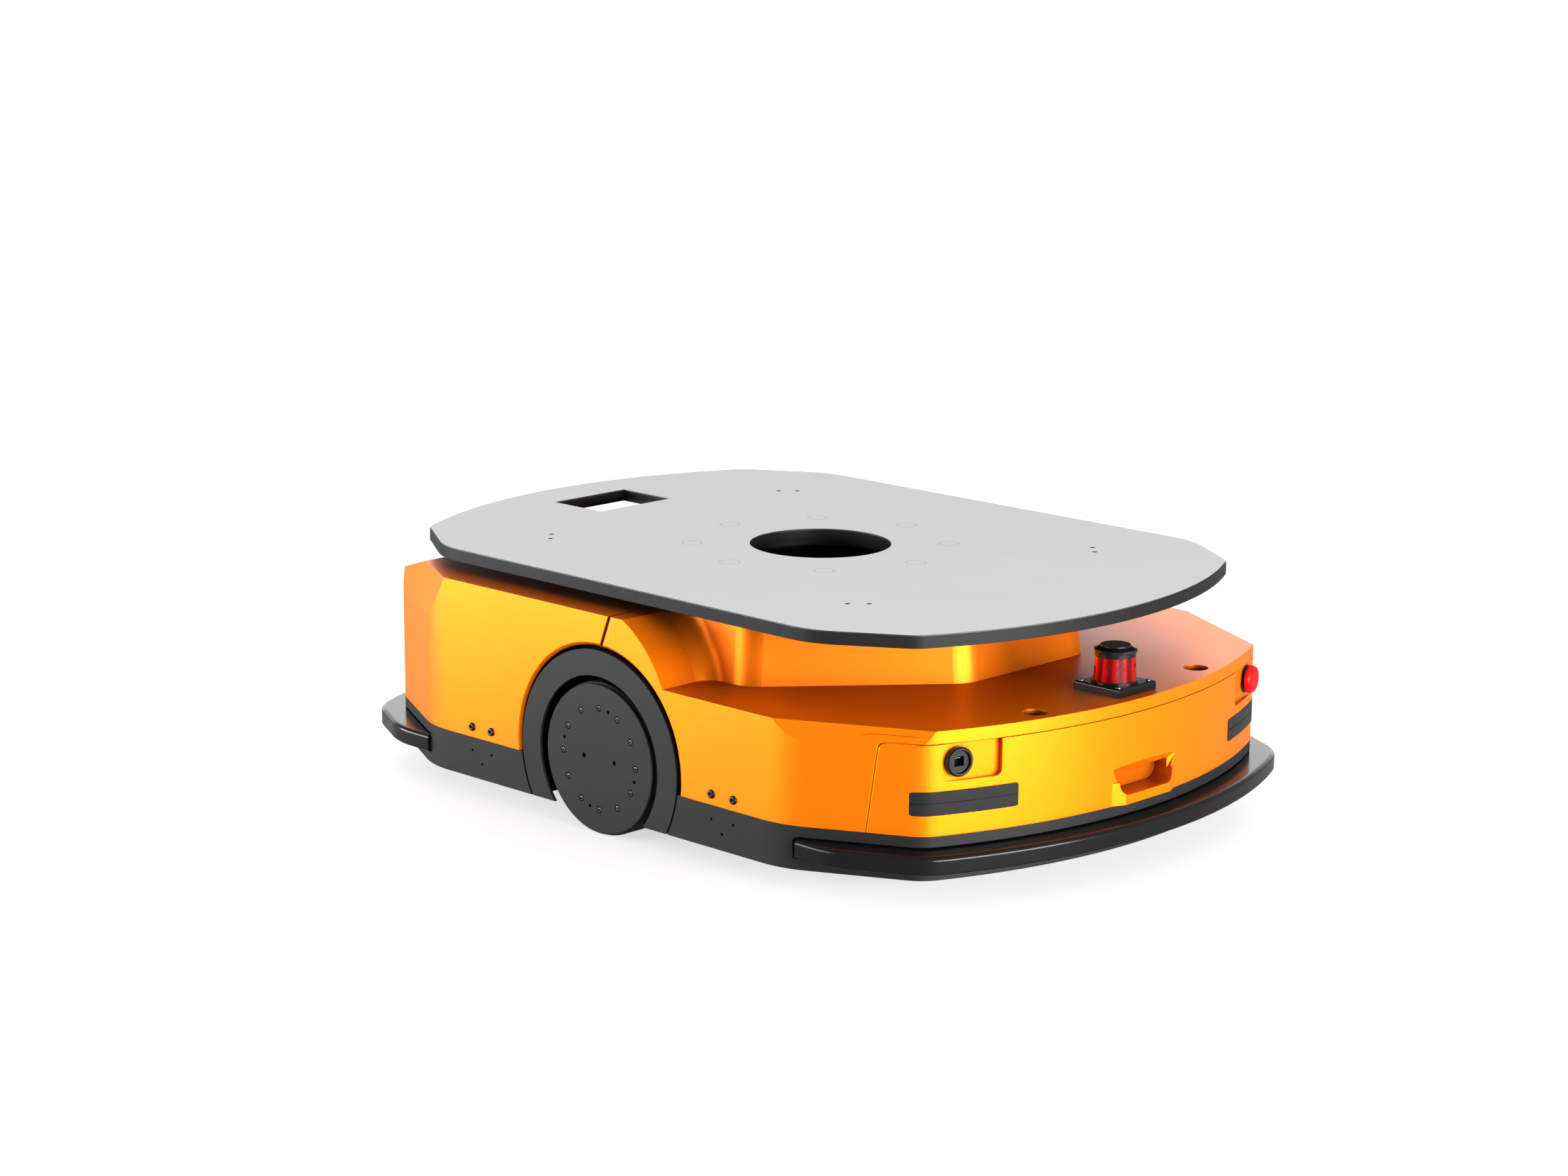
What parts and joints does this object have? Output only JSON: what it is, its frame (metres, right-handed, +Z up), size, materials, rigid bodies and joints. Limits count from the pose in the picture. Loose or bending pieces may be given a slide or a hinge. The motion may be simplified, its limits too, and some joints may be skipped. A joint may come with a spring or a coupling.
{
  "type": "autonomous mobile robot",
  "caption": "Low autonomous mobile robot with side drive wheels, swivel casters, safety bumpers and a lifting, turning load plate.",
  "frame": {"origin": "on the floor, midway between the two drive wheels", "axes": "+X forward, +Y left, +Z up"},
  "size_m": [1.186, 0.822, 0.3215],
  "materials": {
    "orange_paint": "glossy orange paint on moulded covers",
    "dark_plastic": "satin dark grey plastic",
    "lamp_lens": "smoked lens",
    "bumper_rubber": "semi-gloss black rubber",
    "black_steel": "black oxide",
    "plate_core": "dark anodised",
    "plate_mat": "light grey mat",
    "gear_steel": "machined",
    "frame_paint": "black powder coat",
    "motor_case": "dark cast case",
    "bright_steel": "zinc plated",
    "pack_case": "powder coat",
    "black_plastic": "black plastic",
    "red_lens": "clear red lens",
    "red_plastic": "glossy red",
    "wheel_disc": "satin dark grey",
    "wheel_tread": "polyurethane tread",
    "caster_tread": "black tread"
  },
  "bodies": {
    "chassis": {"arch_ring_left": "dark_plastic", "arch_ring_right": "dark_plastic", "battery_pack": "pack_case", "beacon_base": "black_plastic", "beacon_cap": "black_plastic", "beacon_lamp": "black_plastic", "beacon_lens": "red_lens", "caster_plates": "bright_steel", "chassis_frame": "frame_paint", "controller_box": "motor_case", "cover_screws": "black_steel", "floor_camera": "black_plastic", "front_bumper": "bumper_rubber", "front_cover": "orange_paint", "front_lamps": "lamp_lens", "front_panel": "orange_paint", "front_skirt": "dark_plastic", "guide_posts": "bright_steel", "lift_motor_front": "motor_case", "lift_motor_rear": "motor_case", "load_camera": "black_plastic", "network_port": "black_plastic", "pivot_pin_left": "bright_steel", "pivot_pin_right": "bright_steel", "rear_bumper": "bumper_rubber", "rear_cover": "orange_paint", "rear_skirt": "dark_plastic", "stop_collar": "black_plastic"},
    "drive_left": {"drive_arm_left": "frame_paint", "drive_motor_left": "motor_case"},
    "drive_right": {"drive_arm_right": "frame_paint", "drive_motor_right": "motor_case"},
    "wheel_left": {"wheel_hub_left": "wheel_disc", "wheel_tyre_left": "wheel_tread", "wheel_screws_left": "black_steel"},
    "wheel_right": {"wheel_hub_right": "wheel_disc", "wheel_tyre_right": "wheel_tread", "wheel_screws_right": "black_steel"},
    "lift_carriage": {"lift_frame": "frame_paint", "turn_motor": "motor_case"},
    "turntable": {"slewing_ring": "gear_steel", "platform_plate": "plate_core", "platform_mat": "plate_mat"},
    "pinion": {"turn_pinion": "gear_steel"},
    "screw_front": {"lift_screw_front": "bright_steel"},
    "screw_rear": {"lift_screw_rear": "bright_steel"},
    "stop_plunger": {"stop_stem": "bright_steel"},
    "stop_head": {"stop_button": "red_plastic"},
    "fork_front_left": {"caster_fork_front_left": "bright_steel"},
    "roller_front_left": {"caster_wheel_front_left": "caster_tread"},
    "fork_front_right": {"caster_fork_front_right": "bright_steel"},
    "roller_front_right": {"caster_wheel_front_right": "caster_tread"},
    "fork_rear_left": {"caster_fork_rear_left": "bright_steel"},
    "roller_rear_left": {"caster_wheel_rear_left": "caster_tread"},
    "fork_rear_right": {"caster_fork_rear_right": "bright_steel"},
    "roller_rear_right": {"caster_wheel_rear_right": "caster_tread"}
  },
  "joints": [
    {"name": "suspension_left", "type": "hinge", "parent": "chassis", "child": "drive_left", "pos_m": [0.15, 0.332, 0.105], "axis": [0, 1, 0], "range_deg": [-2.5, 2.5], "stiffness_Nm_per_rad": 1500},
    {"name": "wheel_turn_left", "type": "hinge", "parent": "drive_left", "child": "wheel_left", "pos_m": [0, 0.375, 0.1], "axis": [0, 1, 0], "continuous": true},
    {"name": "suspension_right", "type": "hinge", "parent": "chassis", "child": "drive_right", "pos_m": [0.15, -0.332, 0.105], "axis": [0, 1, 0], "range_deg": [-2.5, 2.5], "stiffness_Nm_per_rad": 1500},
    {"name": "wheel_turn_right", "type": "hinge", "parent": "drive_right", "child": "wheel_right", "pos_m": [0, -0.375, 0.1], "axis": [0, 1, 0], "continuous": true},
    {"name": "caster_swivel_front_left", "type": "hinge", "parent": "chassis", "child": "fork_front_left", "pos_m": [0.375, 0.235, 0.09], "axis": [0, 0, 1], "continuous": true},
    {"name": "caster_roll_front_left", "type": "hinge", "parent": "fork_front_left", "child": "roller_front_left", "pos_m": [0.353, 0.235, 0.0375], "axis": [0, 1, 0], "continuous": true},
    {"name": "caster_swivel_front_right", "type": "hinge", "parent": "chassis", "child": "fork_front_right", "pos_m": [0.375, -0.235, 0.09], "axis": [0, 0, 1], "continuous": true},
    {"name": "caster_roll_front_right", "type": "hinge", "parent": "fork_front_right", "child": "roller_front_right", "pos_m": [0.353, -0.235, 0.0375], "axis": [0, 1, 0], "continuous": true},
    {"name": "caster_swivel_rear_left", "type": "hinge", "parent": "chassis", "child": "fork_rear_left", "pos_m": [-0.375, 0.235, 0.09], "axis": [0, 0, 1], "continuous": true},
    {"name": "caster_roll_rear_left", "type": "hinge", "parent": "fork_rear_left", "child": "roller_rear_left", "pos_m": [-0.397, 0.235, 0.0375], "axis": [0, 1, 0], "continuous": true},
    {"name": "caster_swivel_rear_right", "type": "hinge", "parent": "chassis", "child": "fork_rear_right", "pos_m": [-0.375, -0.235, 0.09], "axis": [0, 0, 1], "continuous": true},
    {"name": "caster_roll_rear_right", "type": "hinge", "parent": "fork_rear_right", "child": "roller_rear_right", "pos_m": [-0.397, -0.235, 0.0375], "axis": [0, 1, 0], "continuous": true},
    {"name": "platform_lift", "type": "slide", "parent": "chassis", "child": "lift_carriage", "axis": [0, 0, 1], "range_m": [0, 0.06]},
    {"name": "platform_turn", "type": "hinge", "parent": "lift_carriage", "child": "turntable", "pos_m": [0, 0, 0.305], "axis": [0, 0, 1], "continuous": true},
    {"name": "pinion_turn", "type": "hinge", "parent": "lift_carriage", "child": "pinion", "pos_m": [0.13011, 0.13011, 0.21], "axis": [0, 0, 1], "continuous": true},
    {"name": "screw_turn_front", "type": "hinge", "parent": "chassis", "child": "screw_front", "pos_m": [0.2, 0, 0.2], "axis": [0, 0, 1], "range_deg": [-10, 2170]},
    {"name": "screw_turn_rear", "type": "hinge", "parent": "chassis", "child": "screw_rear", "pos_m": [-0.2, 0, 0.2], "axis": [0, 0, 1], "range_deg": [-10, 2170]},
    {"name": "stop_press", "type": "slide", "parent": "chassis", "child": "stop_plunger", "axis": [-0.9613, -0.2756, 0], "range_m": [0, 0.003]},
    {"name": "stop_twist", "type": "hinge", "parent": "stop_plunger", "child": "stop_head", "pos_m": [0.498, 0.286, 0.174], "axis": [0.9613, 0.2756, 0], "range_deg": [0, 30], "stiffness_Nm_per_rad": 0.05}
  ],
  "couplings": [
    {"joint": "pinion_turn", "follows": "platform_turn", "ratio": -4.75},
    {"joint": "screw_turn_front", "follows": "platform_lift", "rad_per_m": 628.32},
    {"joint": "screw_turn_rear", "follows": "platform_lift", "rad_per_m": 628.32}
  ]
}
